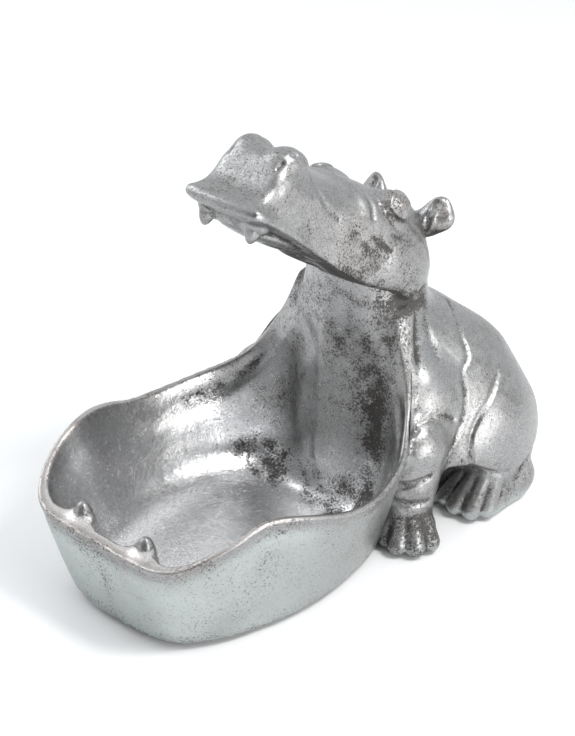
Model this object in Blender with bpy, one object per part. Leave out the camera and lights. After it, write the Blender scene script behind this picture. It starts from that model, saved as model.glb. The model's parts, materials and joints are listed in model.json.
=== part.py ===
"""Open-mouthed hippo bowl: a table sculpture in cast resin, built as its separate castings.

Lengths below are in millimetres and become metres when a mesh is made. +Z is up, the hippo faces -Y,
and +X is its left side. The origin lies on the table, under the middle of the sculpture's width.
"""
import math

import bmesh
import bpy
from mathutils import Euler, Matrix, Vector

MM = 0.001
GAP = 0.3                       # joint line between two castings
BOWL_GAP = 0.7                  # wider behind the bowl, whose wall is doubly curved
PAD_THICKNESS = 1.2             # felt pads that the sculpture stands on
REST_HEIGHT = PAD_THICKNESS + GAP
LEFT, RIGHT = 1, -1

# Lower jaw, drawn as radii about a vertical axis through (0, BOWL_AXIS_Y).
BOWL_AXIS_Y = -55.0
BOWL_COLUMNS = 64
WALL = 8.0                      # wall of the bowl
ROUND_OVER = WALL * 0.4         # rounding of the lip's edges
WALL_ROWS = (0.2, 0.4, 0.6, 0.8, 1)
WALL_FLARE = 0.85               # 1 is a straight wall, less bows it outwards
FLOOR_HEIGHT = 11.0
FOOT_FILLET = 14.0              # outside, where the wall turns under
FLOOR_FILLET = 34.0             # inside, where the wall turns into the floor
# Outer edge of the lip, left half, from the chin back to the throat: x, y, z
LIP = [(0, -176, 71), (30, -178, 73), (52, -177, 74), (62, -171, 76), (70, -163, 80), (79, -151, 86),
       (86, -136, 92), (90, -119, 97.5), (95, -106, 98), (101, -90, 94.5), (106, -70, 88),
       (107.5, -50, 81.5), (107, -25, 78.5), (102, -2, 80.5), (92, 22, 86), (81, 37, 96),
       (73, 46, 108), (62, 56, 127), (54, 63, 148), (44, 76, 178), (0, 82, 205)]
# Outline that the bowl stands on, left half: x, y
FOOTPRINT = [(0, -158), (25, -157), (44, -148), (58, -128), (72, -98), (78, -62), (75, -25),
             (66, 12), (50, 42), (28, 66), (0, 74)]
# The throat is a round pillar that swells out of the bowl's back wall.
THROAT_Y = 75.0
THROAT_RADIUS_LOW, THROAT_RADIUS_HIGH = 47.0, 37.0
THROAT_LOW, THROAT_HIGH = 25.0, 190.0
THROAT_BLEND = 22.0
LOWER_TUSK = (30, -161.5, 74)   # where it meets the lip
LOWER_TUSK_RADIUS, LOWER_TUSK_PEG, LOWER_TUSK_RISE = 5.0, 8.0, 14.0
LIP_PAD = 15.0                  # how far the lip widens inwards under a lower tusk
LIP_PAD_SPREAD = 0.11           # radians about the bowl's axis
LIP_PAD_START, LIP_PAD_FULL = 0.6, 0.9      # share of the lip's height
FAR_AWAY = 1000.0
BELOW_ALL, ABOVE_BOWL = -20.0, 230.0        # heights that cutters run on to

# Upper jaw and skull, in its own frame: X across, forward along the jaw, up square to it.
HEAD_ORIGIN = Vector((0, 84, 205))
HEAD_TILT = math.radians(32)    # how far the upper jaw is lifted
HEAD_SIDES = 40
SQUARENESS = 2.6                # 2 is an ellipse, more is boxier
# forward, half width, top, bottom
HEAD_SECTIONS = [(-50, 28, 8, -14), (-34, 37, 20, -26), (-12, 43, 27, -35), (12, 44, 29, -40),
                 (38, 41, 29.5, -42), (62, 36.5, 29, -37), (85, 33, 27, -32), (108, 32, 25, -28),
                 (128, 34, 25, -25), (146, 36, 24, -23), (152, 35, 21, -21)]
EAR_SEAT = (31, -25, 11)        # head frame
EAR_LEAN = math.radians(28)     # outwards from the head's up
EAR_PEG_RADIUS, EAR_PEG_LENGTH, EAR_MIDDLE = 6.5, 12.0, 17.0
EAR_RADII = (9, 6.5, 12.5)
EAR_CUP, EAR_CUP_RADII = Vector((4.5, -5.5, 1)), (6, 5, 9.5)
UPPER_TUSK = (20.4, 141.5, -19)
UPPER_TUSK_RADIUS, UPPER_TUSK_LENGTH = 5.5, 15.5
TUSK_SHOULDER = 1.05            # a tusk's widest, just above its peg, against the peg
TUSK_SIDES = 14

# Joint between the head and the rest: a plane that falls away backwards.
NECK_JOINT = Vector((0, 84, 172))
NECK_JOINT_TILT = math.radians(-17)

# Foreleg joint, a round-ended shell about the limb, and hind-leg joint, an egg about the thigh.
FORELEG_SHELL = ((72, 46, -40), (70, 58, 66), 52, 31)
THIGH_SHELL = ((92, 132, 36), (46, 54, 64))

POUR_HOLE = (0, 129)
POUR_HOLE_RADIUS, PLUG_FLANGE_RADIUS, PLUG_FLANGE, PLUG_LENGTH = 12.0, 17.0, 2.4, 12.0
# The body's hollow core above the pour hole: half width, half length, height
CORE_SECTIONS = [(12, 12, 28), (36, 23, 33), (50, 32, 48), (55, 36, 70), (47, 32, 94), (26, 18, 110)]
TAIL_ROOT, TAIL_BEND, TAIL_TIP = (0, 170, 92), (0, 185, 81), (0, 187.5, 50)
TAIL_PEG_RADIUS = 3.8


def clear_scene():
    for item in list(bpy.data.objects):
        bpy.data.objects.remove(item)


def material(name, colour, roughness, metallic):
    made = bpy.data.materials.new(name)
    made.use_nodes = True
    shader = made.node_tree.nodes["Principled BSDF"]
    shader.inputs["Base Color"].default_value = (*colour, 1)
    shader.inputs["Roughness"].default_value = roughness
    shader.inputs["Metallic"].default_value = metallic
    return made


def smooth_curve(points):
    """A smooth function through (position, value) points."""
    def slope(i):
        low, high = points[max(i - 1, 0)], points[min(i + 1, len(points) - 1)]
        return (high[1] - low[1]) / (high[0] - low[0])

    def value(x):
        x = min(max(x, points[0][0]), points[-1][0])
        i = max(k for k in range(len(points) - 1) if points[k][0] <= x)
        span = points[i + 1][0] - points[i][0]
        t = (x - points[i][0]) / span
        return ((2 * t**3 - 3 * t**2 + 1) * points[i][1] + (t**3 - 2 * t**2 + t) * span * slope(i)
                + (3 * t**2 - 2 * t**3) * points[i + 1][1] + (t**3 - t**2) * span * slope(i + 1))
    return value


def smooth_min(a, b, blend):
    mix = min(max(0.5 + 0.5 * (b - a) / blend, 0), 1)
    return b + (a - b) * mix - blend * mix * (1 - mix)


# ---- meshes -------------------------------------------------------------------------------------

def finish_object(name, mesh_data, look=None, smooth=True):
    mesh = bpy.data.meshes.new(name)
    mesh_data.to_mesh(mesh)
    mesh_data.free()
    made = bpy.data.objects.new(name, mesh)
    bpy.context.collection.objects.link(made)
    if look:
        mesh.materials.append(look)
    if smooth:
        mesh.shade_smooth()
        mesh.set_sharp_from_angle(angle=math.radians(40))
    return made


def cutter(name, mesh_data):
    made = finish_object(name, mesh_data, smooth=False)
    made.hide_render = True
    made.display_type = "WIRE"
    return made


def placed(centre, turn=(0, 0, 0), scale=(1, 1, 1)):
    angles = [math.radians(a) for a in turn]
    return (Matrix.Translation(Vector(centre) * MM) @ Euler(angles).to_matrix().to_4x4()
            @ Matrix.Diagonal((*[s * MM for s in scale], 1)))


def add_egg(mesh_data, centre, radii, turn=(0, 0, 0), rings=14):
    bmesh.ops.create_uvsphere(mesh_data, u_segments=2 * rings, v_segments=rings, radius=1,
                              matrix=placed(centre, turn, radii))


def add_rod(mesh_data, start, end, start_radius, end_radius, sides=24):
    """A straight or tapered rod with flat ends."""
    start, end = Vector(start), Vector(end)
    along = end - start
    turn = along.to_track_quat("Z", "Y").to_matrix().to_4x4()
    bmesh.ops.create_cone(mesh_data, cap_ends=True, segments=sides, radius1=start_radius * MM,
                          radius2=end_radius * MM, depth=along.length * MM,
                          matrix=Matrix.Translation((start + end) / 2 * MM) @ turn)


def add_limb(mesh_data, start, end, start_radius, end_radius, rings=12):
    """A tapered limb with round ends: a skin stretched over two balls."""
    balls = bmesh.new()
    add_egg(balls, start, (start_radius,) * 3, rings=rings)
    add_egg(balls, end, (end_radius,) * 3, rings=rings)
    limb = bmesh.new()
    for vertex in balls.verts:
        limb.verts.new(vertex.co)
    balls.free()
    hull = bmesh.ops.convex_hull(limb, input=limb.verts)
    inside = [v for v in hull["geom_interior"] if isinstance(v, bmesh.types.BMVert)]
    bmesh.ops.delete(limb, geom=inside)
    join(mesh_data, limb)


def join(mesh_data, other):
    mesh = bpy.data.meshes.new("join")
    other.to_mesh(mesh)
    other.free()
    mesh_data.from_mesh(mesh)
    bpy.data.meshes.remove(mesh)


def add_loft(mesh_data, rings, first_centre, last_centre):
    """Close a stack of equal rings of points with a fan at each end."""
    rows = [[mesh_data.verts.new(Vector(p) * MM) for p in ring] for ring in rings]
    count = len(rows[0])
    for lower, upper in zip(rows[:-1], rows[1:]):
        for i in range(count):
            j = (i + 1) % count
            mesh_data.faces.new((lower[i], lower[j], upper[j], upper[i]))
    for row, centre, step in ((rows[0], first_centre, -1), (rows[-1], last_centre, 1)):
        tip = mesh_data.verts.new(Vector(centre) * MM)
        for i in range(count):
            j = (i + 1) % count
            mesh_data.faces.new((row[i], row[j], tip) if step > 0 else (row[j], row[i], tip))
    bmesh.ops.recalc_face_normals(mesh_data, faces=mesh_data.faces)


def add_modifier(item, kind, **settings):
    made = item.modifiers.new(kind.lower(), kind)
    for key, value in settings.items():
        setattr(made, key, value)
    return made


def cut(item, tool, keep_inside=False):
    add_modifier(item, "BOOLEAN", object=tool, solver="EXACT",
                 operation="INTERSECT" if keep_inside else "DIFFERENCE")


def blend_forms(item, voxel, rounds, triangles):
    """Fuse the overlapping forms of a clay-like shape, soften the folds and thin the mesh out."""
    add_modifier(item, "REMESH", mode="VOXEL", voxel_size=voxel * MM)
    add_modifier(item, "SMOOTH", factor=0.5, iterations=rounds)
    bpy.context.view_layer.update()
    graph = bpy.context.evaluated_depsgraph_get()
    dense = len(item.evaluated_get(graph).data.polygons) * 2
    add_modifier(item, "DECIMATE", ratio=min(1, triangles / dense))
    bpy.context.view_layer.update()
    shape = bpy.data.meshes.new_from_object(item.evaluated_get(bpy.context.evaluated_depsgraph_get()))
    shape.name = item.name
    item.modifiers.clear()
    item.data = shape
    return item


def copy_of(item, name):
    made = bpy.data.objects.new(name, item.data.copy())
    bpy.context.collection.objects.link(made)
    return made


# ---- lower jaw ----------------------------------------------------------------------------------

def bearing(x, y):
    """Angle about the bowl's axis, 0 at the chin and pi at the throat."""
    return math.atan2(x, BOWL_AXIS_Y - y)


def by_bearing(points, value):
    return smooth_curve(sorted((bearing(p[0], p[1]), value(p)) for p in points))


def reach(point):
    return math.hypot(point[0], point[1] - BOWL_AXIS_Y)


lip_reach = by_bearing(LIP, reach)
lip_height = by_bearing(LIP, lambda p: p[2])
foot_reach = by_bearing(FOOTPRINT, reach)
TUSK_BEARING = bearing(LOWER_TUSK[0], LOWER_TUSK[1])


def outer_reach(angle, height):
    level = min(max(height / lip_height(angle), 0), 1)
    return foot_reach(angle) + (lip_reach(angle) - foot_reach(angle)) * level**WALL_FLARE


def throat_reach(angle, height):
    """Where a line from the bowl's axis meets the throat pillar."""
    level = min(max((height - THROAT_LOW) / (THROAT_HIGH - THROAT_LOW), 0), 1)
    radius = THROAT_RADIUS_LOW + (THROAT_RADIUS_HIGH - THROAT_RADIUS_LOW) * level
    distance = THROAT_Y - BOWL_AXIS_Y
    off = distance * math.sin(math.pi - angle)
    ahead = distance * math.cos(math.pi - angle)
    if ahead <= 0 or off >= radius:
        return FAR_AWAY
    return ahead - math.sqrt(radius**2 - off**2)


def inner_reach(angle, height):
    level = height / lip_height(angle)
    rise = min(max((level - LIP_PAD_START) / (LIP_PAD_FULL - LIP_PAD_START), 0), 1)
    pad = LIP_PAD * math.exp(-((angle - TUSK_BEARING) / LIP_PAD_SPREAD) ** 2) * rise
    wall = outer_reach(angle, height) - WALL - pad
    return smooth_min(wall, throat_reach(angle, height), THROAT_BLEND)


def bowl_profile(angle):
    """(reach, height) points from the middle of the underside, over the lip, to the middle of the floor."""
    top = lip_height(angle)
    points = [(outer_reach(angle, 0) - FOOT_FILLET, REST_HEIGHT)]
    for k in (1, 2, 3):
        turn = k / 3 * math.pi / 2
        height = REST_HEIGHT + FOOT_FILLET * (1 - math.cos(turn))
        points.append((outer_reach(angle, height) - FOOT_FILLET * (1 - math.sin(turn)), height))
    start = REST_HEIGHT + FOOT_FILLET
    for level in WALL_ROWS:
        height = start + (top - ROUND_OVER - start) * level
        points.append((outer_reach(angle, height), height))
    points.append((outer_reach(angle, top) - ROUND_OVER * 0.3, top - ROUND_OVER * 0.3))
    points.append((outer_reach(angle, top) - ROUND_OVER, top))
    inside = inner_reach(angle, top - ROUND_OVER)
    points.append((inside + ROUND_OVER, top))
    points.append((inside + ROUND_OVER * 0.3, top - ROUND_OVER * 0.3))
    low = FLOOR_HEIGHT + FLOOR_FILLET
    for level in (1, 0.8, 0.6, 0.4, 0.2, 0):
        height = low + (top - ROUND_OVER - low) * level
        points.append((inner_reach(angle, height), height))
    for k in (1, 2, 3, 4):
        turn = k / 4 * math.pi / 2
        height = FLOOR_HEIGHT + FLOOR_FILLET * (1 - math.sin(turn))
        points.append((inner_reach(angle, height) - FLOOR_FILLET * (1 - math.cos(turn)), height))
    points.append((points[-1][0] * 0.5, FLOOR_HEIGHT))
    return points


def around_axis(profiles):
    """Rings of points from one (reach, height) profile for each column."""
    rings = []
    for row in range(len(profiles[0])):
        ring = []
        for column, profile in enumerate(profiles):
            turn = 2 * math.pi * column / BOWL_COLUMNS
            distance, height = profile[row]
            ring.append((distance * math.sin(turn), BOWL_AXIS_Y - distance * math.cos(turn), height))
        rings.append(ring)
    return rings


def column_bearings():
    turns = [2 * math.pi * column / BOWL_COLUMNS for column in range(BOWL_COLUMNS)]
    return [math.pi - abs(math.pi - turn) for turn in turns]


def mouth_bowl(look, neck_above, tusk_sockets):
    shape = bmesh.new()
    rings = around_axis([bowl_profile(angle) for angle in column_bearings()])
    add_loft(shape, rings, (0, BOWL_AXIS_Y, REST_HEIGHT), (0, BOWL_AXIS_Y, FLOOR_HEIGHT))
    made = finish_object("mouth_bowl", shape, look)
    cut(made, neck_above)
    for socket in tusk_sockets:
        cut(made, socket)
    return made


def bowl_room():
    """The bowl's outer shape with a joint line around it, carried up past its lip: the body lies outside."""
    profiles = []
    for angle in column_bearings():
        top = lip_height(angle)
        start = REST_HEIGHT + FOOT_FILLET
        heights = [BELOW_ALL, start] + [start + (top - ROUND_OVER - start) * level for level in WALL_ROWS]
        profile = [(outer_reach(angle, height) + BOWL_GAP, height) for height in heights]
        profile.append((outer_reach(angle, top) + BOWL_GAP, ABOVE_BOWL))
        profiles.append(profile)
    shape = bmesh.new()
    add_loft(shape, around_axis(profiles), (0, BOWL_AXIS_Y, BELOW_ALL), (0, BOWL_AXIS_Y, ABOVE_BOWL))
    return cutter("bowl_room", shape)


# ---- head ---------------------------------------------------------------------------------------

def in_head(across, forward, up):
    """A point given in the head's frame, in world coordinates."""
    ahead = Vector((0, -math.cos(HEAD_TILT), math.sin(HEAD_TILT)))
    above = Vector((0, math.sin(HEAD_TILT), math.cos(HEAD_TILT)))
    return HEAD_ORIGIN + Vector((across, 0, 0)) + ahead * forward + above * up


def add_head_egg(shape, place, radii):
    """Radii are across, forward and up."""
    add_egg(shape, in_head(*place), radii, (-math.degrees(HEAD_TILT), 0, 0))


def head(look, neck_below, sockets):
    shape = bmesh.new()
    rings = []
    for forward, half_width, top, bottom in HEAD_SECTIONS:
        ring = []
        middle, half_height = (top + bottom) / 2, (top - bottom) / 2
        for k in range(HEAD_SIDES):
            turn = 2 * math.pi * k / HEAD_SIDES
            across = math.copysign(abs(math.cos(turn)) ** (2 / SQUARENESS), math.cos(turn))
            up = math.copysign(abs(math.sin(turn)) ** (2 / SQUARENESS), math.sin(turn))
            lean = 0 if forward < 140 else -0.35 * up * half_height
            ring.append(in_head(across * half_width, forward + lean, middle + up * half_height))
        rings.append(ring)
    add_loft(shape, rings, in_head(0, -60, -3), in_head(0, 152, 0))
    for side in (LEFT, RIGHT):
        add_head_egg(shape, (17 * side, 133, 20), (11, 15, 9.5))     # nostril
        add_head_egg(shape, (29 * side, -2, -18), (19, 32, 18))      # cheek
        add_head_egg(shape, (26 * side, 18, 20), (12, 15, 14))       # brow and eye
        add_limb(shape, in_head(28 * side, 138, -19), in_head(32 * side, 44, -33), 6.5, 8)  # side lip
    add_head_egg(shape, (0, 145, -17), (35, 17, 8))                  # upper lip
    made = blend_forms(finish_object("head", shape, look), voxel=2.4, rounds=8, triangles=1900)
    made.data.shade_smooth()
    roof = bmesh.new()
    add_head_egg(roof, (0, 98, -46), (23, 56, 16))
    cut(made, cutter("mouth_roof", roof))
    cut(made, neck_below)
    for socket in sockets:
        cut(made, socket)
    return made


def ear(side, look):
    """A cupped ear on a round stub that sits in the head."""
    name = "ear_left" if side == LEFT else "ear_right"
    seat, axis = ear_axis(side)
    turn = axis.to_track_quat("Z", "Y").to_euler()
    degrees = [math.degrees(a) for a in turn]
    shape = bmesh.new()
    add_rod(shape, seat, seat + axis * EAR_PEG_LENGTH, EAR_PEG_RADIUS, EAR_PEG_RADIUS, 16)
    add_egg(shape, seat + axis * EAR_MIDDLE, EAR_RADII, degrees, rings=8)
    made = finish_object(name, shape, look)
    add_modifier(made, "REMESH", mode="VOXEL", voxel_size=1.2 * MM)
    add_modifier(made, "DECIMATE", ratio=0.12)
    scoop = bmesh.new()
    cup = seat + axis * (EAR_MIDDLE + 2) + Vector((EAR_CUP.x * side, EAR_CUP.y, EAR_CUP.z))
    add_egg(scoop, cup, EAR_CUP_RADII, degrees, rings=7)
    cut(made, cutter(name + "_scoop", scoop))
    return made


def ear_axis(side):
    seat = in_head(EAR_SEAT[0] * side, EAR_SEAT[1], EAR_SEAT[2])
    tip = in_head((EAR_SEAT[0] + 10 * math.tan(EAR_LEAN)) * side, EAR_SEAT[1] - 1, EAR_SEAT[2] + 10)
    return seat, (tip - seat).normalized()


def round_tusk(name, root, tip, radius, look):
    """A blunt cone whose lower third is a straight peg."""
    along = (tip - root).normalized()
    length = (tip - root).length
    stations = [(0, 1), (0.34, 1), (0.36, TUSK_SHOULDER), (0.55, 0.88), (0.75, 0.66), (0.9, 0.42),
                (0.98, 0.2)]
    turn = along.to_track_quat("Z", "Y").to_matrix()
    rings = []
    for level, share in stations:
        ring = []
        for k in range(TUSK_SIDES):
            angle = 2 * math.pi * k / TUSK_SIDES
            around = Vector((math.cos(angle), math.sin(angle), 0)) * radius * share
            ring.append(root + along * length * level + turn @ around)
        rings.append(ring)
    shape = bmesh.new()
    add_loft(shape, rings, root, tip)
    return finish_object(name, shape, look)


def peg_socket(name, root, tip, radius, depth):
    """The hole for a peg that points from root to tip."""
    along = (tip - root).normalized()
    shape = bmesh.new()
    add_rod(shape, root - along * GAP, root + along * depth, radius + GAP, radius + GAP, 20)
    return cutter(name, shape)


# ---- body and legs ------------------------------------------------------------------------------

def clay_body():
    shape = bmesh.new()
    add_egg(shape, (0, 96, 71), (86, 88, 80), (8, 0, 0), rings=24)
    add_limb(shape, (0, 86, 120), (0, 86, 200), 44, 40)
    for side in (LEFT, RIGHT):
        add_egg(shape, (60 * side, 120, 48), (48, 62, 58), rings=20)            # haunch
        add_egg(shape, (40 * side, 122, 84), (48, 57, 50), rings=20)            # flank
        add_egg(shape, (50 * side, 72, 84), (35, 34, 50), rings=20)             # shoulder
        add_limb(shape, (69 * side, 56, 72), (73 * side, 46, 42), 27, 20)       # forearm
        add_egg(shape, (79 * side, 43, 14), (23, 24, 16))                       # forepaw
        add_limb(shape, (74 * side, 46, 24), (77 * side, 38, 12), 18, 14)
        add_egg(shape, (84 * side, 118, 14), (22, 34, 17), (0, 0, 12 * side))   # hind paw
        add_egg(shape, (88 * side, 144, 16), (19, 24, 18))                      # heel
    return blend_forms(finish_object("clay_body", shape), voxel=3.2, rounds=7, triangles=3800)


def table_block():
    """Everything below the flat undersides of the castings."""
    shape = bmesh.new()
    bmesh.ops.create_cube(shape, size=1, matrix=placed((0, 0, REST_HEIGHT - 50), scale=(600, 600, 100)))
    return cutter("below_rest_height", shape)


def neck_block(name, above, offset):
    """A large block that ends on the neck joint's plane, moved up by offset."""
    shape = bmesh.new()
    size = 500
    middle = offset + (size / 2 if above else -size / 2)
    turn = Matrix.Rotation(NECK_JOINT_TILT, 4, "X")
    centre = NECK_JOINT + turn @ Vector((0, 0, middle))
    bmesh.ops.create_cube(shape, size=1,
                          matrix=placed(centre, (math.degrees(NECK_JOINT_TILT), 0, 0), (size,) * 3))
    return cutter(name, shape)


def tail_peg(shape, grow=0):
    add_rod(shape, TAIL_ROOT, TAIL_BEND, TAIL_PEG_RADIUS + grow, TAIL_PEG_RADIUS + grow, 14)


def tail_hair(shape, grow=0):
    add_limb(shape, TAIL_BEND, TAIL_TIP, 5 + grow, 3 + grow, rings=8)


def tail(look):
    shape = bmesh.new()
    tail_peg(shape)
    tail_hair(shape)
    made = finish_object("tail", shape, look)
    add_modifier(made, "REMESH", mode="VOXEL", voxel_size=1.2 * MM)
    add_modifier(made, "DECIMATE", ratio=0.15)


def tail_rooms():
    """Holes in the body for the tail's peg and for the part that lies against the rump."""
    rooms = []
    for name, form in (("tail_socket", tail_peg), ("tail_groove", tail_hair)):
        shape = bmesh.new()
        form(shape, 2 * GAP)
        rooms.append(cutter(name, shape))
    return rooms


def hollow():
    """The plug's rebate, the pour hole and the core above it, as one stack of ovals."""
    rebate_top = REST_HEIGHT + PLUG_FLANGE + GAP
    sections = [(PLUG_FLANGE_RADIUS, PLUG_FLANGE_RADIUS, BELOW_ALL),
                (PLUG_FLANGE_RADIUS, PLUG_FLANGE_RADIUS, rebate_top),
                (POUR_HOLE_RADIUS, POUR_HOLE_RADIUS, rebate_top)] + CORE_SECTIONS
    shape = bmesh.new()
    rings = [oval(*POUR_HOLE, height, half_width, half_length)
             for half_width, half_length, height in sections]
    add_loft(shape, rings, (*POUR_HOLE, BELOW_ALL), (*POUR_HOLE, sections[-1][2] + 3))
    return cutter("hollow", shape)


def oval(x, y, height, half_width, half_length, sides=28):
    turns = [2 * math.pi * (k + 0.5) / sides for k in range(sides)]
    return [(x + half_width * math.cos(turn), y + half_length * math.sin(turn), height) for turn in turns]


def limb_shells(side):
    """Foreleg and thigh joint surfaces: each as the leg's own limit and, larger by the gap, the body's."""
    start, end, low_radius, high_radius = FORELEG_SHELL
    centre, radii = THIGH_SHELL
    tag = "left" if side == LEFT else "right"
    tools = {}
    for use, grow in (("leg", 0), ("body", GAP)):
        shape = bmesh.new()
        add_limb(shape, (start[0] * side, *start[1:]), (end[0] * side, *end[1:]),
                 low_radius + grow, high_radius + grow, rings=9)
        tools["fore_" + use] = cutter("foreleg_shell_%s_%s" % (tag, use), shape)
        shape = bmesh.new()
        add_egg(shape, (centre[0] * side, *centre[1:]), [r + grow for r in radii], rings=11)
        tools["hind_" + use] = cutter("thigh_shell_%s_%s" % (tag, use), shape)
    return tools


def main():
    clear_scene()
    leaf = material("silver_leaf", (0.62, 0.62, 0.61), 0.32, 1.0)
    felt = material("felt", (0.05, 0.05, 0.05), 0.95, 0.0)
    bare = material("bare_resin", (0.55, 0.52, 0.46), 0.6, 0.0)

    # Upper jaw, ears and tusks.
    head_sockets, lip_sockets = [], []
    for side, tag in ((LEFT, "left"), (RIGHT, "right")):
        seat, axis = ear_axis(side)
        head_sockets.append(peg_socket("ear_socket_" + tag, seat, seat + axis, EAR_PEG_RADIUS + GAP, 30))
        ear(side, leaf)
        root = in_head(UPPER_TUSK[0] * side, UPPER_TUSK[1], UPPER_TUSK[2])
        tip = in_head(UPPER_TUSK[0] * side, UPPER_TUSK[1], UPPER_TUSK[2] - UPPER_TUSK_LENGTH)
        round_tusk("upper_tusk_" + tag, root, tip, UPPER_TUSK_RADIUS, leaf)
        head_sockets.append(peg_socket("upper_tusk_socket_" + tag, root, tip,
                                       UPPER_TUSK_RADIUS * TUSK_SHOULDER, 12))
        root = Vector((LOWER_TUSK[0] * side, LOWER_TUSK[1], LOWER_TUSK[2] - LOWER_TUSK_PEG))
        tip = Vector((LOWER_TUSK[0] * side, LOWER_TUSK[1], LOWER_TUSK[2] + LOWER_TUSK_RISE))
        round_tusk("lower_tusk_" + tag, root, tip, LOWER_TUSK_RADIUS, leaf)
        lip_sockets.append(peg_socket("lower_tusk_socket_" + tag, root, tip,
                                      LOWER_TUSK_RADIUS * TUSK_SHOULDER, 20))
    below_neck = neck_block("below_neck_joint", above=False, offset=GAP / 2)
    above_neck = neck_block("above_neck_joint", above=True, offset=-GAP / 2)
    head(leaf, below_neck, head_sockets)
    mouth_bowl(leaf, above_neck, lip_sockets)

    # Body and legs, cut from one modelled form.
    clay = clay_body()
    room = bowl_room()
    table = table_block()
    body = copy_of(clay, "body")
    legs = []
    for side, tag in ((LEFT, "left"), (RIGHT, "right")):
        shells = limb_shells(side)
        for kind in ("fore", "hind"):
            leg = copy_of(clay, ("foreleg_" if kind == "fore" else "hind_leg_") + tag)
            cut(leg, shells[kind + "_leg"], keep_inside=True)
            if kind == "hind":
                cut(leg, shells["fore_body"])
            legs.append(leg)
            cut(body, shells[kind + "_body"])
    bpy.data.objects.remove(clay)
    for room_cut in [hollow()] + tail_rooms():
        cut(body, room_cut)
    for casting in [body] + legs:
        casting.data.materials.clear()
        casting.data.materials.append(leaf)
        cut(casting, room)
        cut(casting, table)
        casting.data.shade_smooth()
    cut(body, above_neck)

    # Pour-hole plug, tail and felt pads.
    plug = bmesh.new()
    stations = [(PLUG_FLANGE_RADIUS - GAP, 0), (PLUG_FLANGE_RADIUS - GAP, PLUG_FLANGE),
                (POUR_HOLE_RADIUS - GAP, PLUG_FLANGE), (POUR_HOLE_RADIUS - GAP, PLUG_LENGTH)]
    rings = [oval(*POUR_HOLE, REST_HEIGHT + height, radius, radius) for radius, height in stations]
    add_loft(plug, rings, (*POUR_HOLE, REST_HEIGHT), (*POUR_HOLE, REST_HEIGHT + PLUG_LENGTH))
    finish_object("pour_plug", plug, bare)

    tail(leaf)
    for name, place, radii in (
            ("bowl_pad_front", (0, -118), (30, 18)), ("bowl_pad_rear", (0, 0), (34, 22)),
            ("forefoot_pad_left", (76, 46), (11, 11)), ("forefoot_pad_right", (-76, 46), (11, 11)),
            ("hind_foot_pad_left", (87, 126), (12, 18)), ("hind_foot_pad_right", (-87, 126), (12, 18))):
        pad = bmesh.new()
        bmesh.ops.create_cone(pad, cap_ends=True, segments=32, radius1=1, radius2=1, depth=1,
                              matrix=placed((*place, PAD_THICKNESS / 2), scale=(*radii, PAD_THICKNESS)))
        finish_object(name, pad, felt, smooth=False)


main()
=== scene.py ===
"""The looks of the hippo bowl: its castings, sculpted in detail and covered in antique silver leaf.

The sculpting is done in millimetres, in the CAD's own frame: +Z up, the hippo faces -Y and +X is its left.
Each casting is modelled as clay, a grid of distances to its surface, which is then skinned with a mesh.
Only the left half of a large casting is modelled, and the right half mirrors it.
"""

import copy
import json
import math

import bpy
import numpy as np
import openvdb
from mathutils import Euler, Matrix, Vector


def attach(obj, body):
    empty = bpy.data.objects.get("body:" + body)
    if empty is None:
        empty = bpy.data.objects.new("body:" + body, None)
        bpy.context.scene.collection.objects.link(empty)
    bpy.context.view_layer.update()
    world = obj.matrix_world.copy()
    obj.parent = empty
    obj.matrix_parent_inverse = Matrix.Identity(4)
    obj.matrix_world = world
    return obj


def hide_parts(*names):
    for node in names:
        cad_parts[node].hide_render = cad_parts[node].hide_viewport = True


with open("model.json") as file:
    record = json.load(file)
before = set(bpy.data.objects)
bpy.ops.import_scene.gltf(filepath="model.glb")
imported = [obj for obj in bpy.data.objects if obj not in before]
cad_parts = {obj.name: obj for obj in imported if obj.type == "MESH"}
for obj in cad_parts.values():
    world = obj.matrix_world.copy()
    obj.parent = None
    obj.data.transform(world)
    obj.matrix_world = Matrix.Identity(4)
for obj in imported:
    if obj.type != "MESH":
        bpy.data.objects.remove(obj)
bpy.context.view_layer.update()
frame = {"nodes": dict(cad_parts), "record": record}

MM = 0.001
SIDES = ((1, "left"), (-1, "right"))
SEAM = 0.02                     # the leaf hides the joints between castings, so they only just clear
REST_HEIGHT = 1.5               # the castings stand on felt pads

# Grids that hold each casting: its low and high corners, and the step between points
BOWL_GRID = ((0, -180, -3), (110, 96, 196), 1.7)
HEAD_GRID = ((0, -76, 158), (56, 140, 305), 0.98)
BODY_BOX = ((0, 10, -3), (110, 195, 205))
BODY_STEP, GUIDE_STEP = 1.4, 2.2
LEG_GRIDS = {"fore": ((34, 8, -3), (112, 104, 104), 1.0), "hind": ((38, 62, -3), (112, 195, 106), 1.0)}
EAR_STEP, TAIL_STEP = 0.55, 0.6

# Lower jaw. Its reaches are measured from a vertical axis through (0, BOWL_AXIS_Y).
BOWL_AXIS_Y = -55.0
WALL = 8.0
WALL_FLARE = 0.85
FLOOR_HEIGHT = 11.0
FOOT_FILLET = 8.0
FLOOR_FILLET = 34.0
# The lip's outer edge, from the chin to the top of the throat
LIP = [(0, -176, 71), (30, -178, 72), (52, -177, 74), (64, -172, 76), (73, -164, 80), (81, -152, 86),
       (88, -136, 92), (92, -119, 97.5), (96, -106, 98), (102, -90, 95), (106.5, -70, 89),
       (107.5, -50, 82.5), (107, -25, 80), (102, -2, 82), (92, 23, 87), (80, 39, 96),
       (71, 50, 108), (60.5, 61, 127), (52, 68, 148), (42, 80, 178), (0, 84, 205)]
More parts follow.
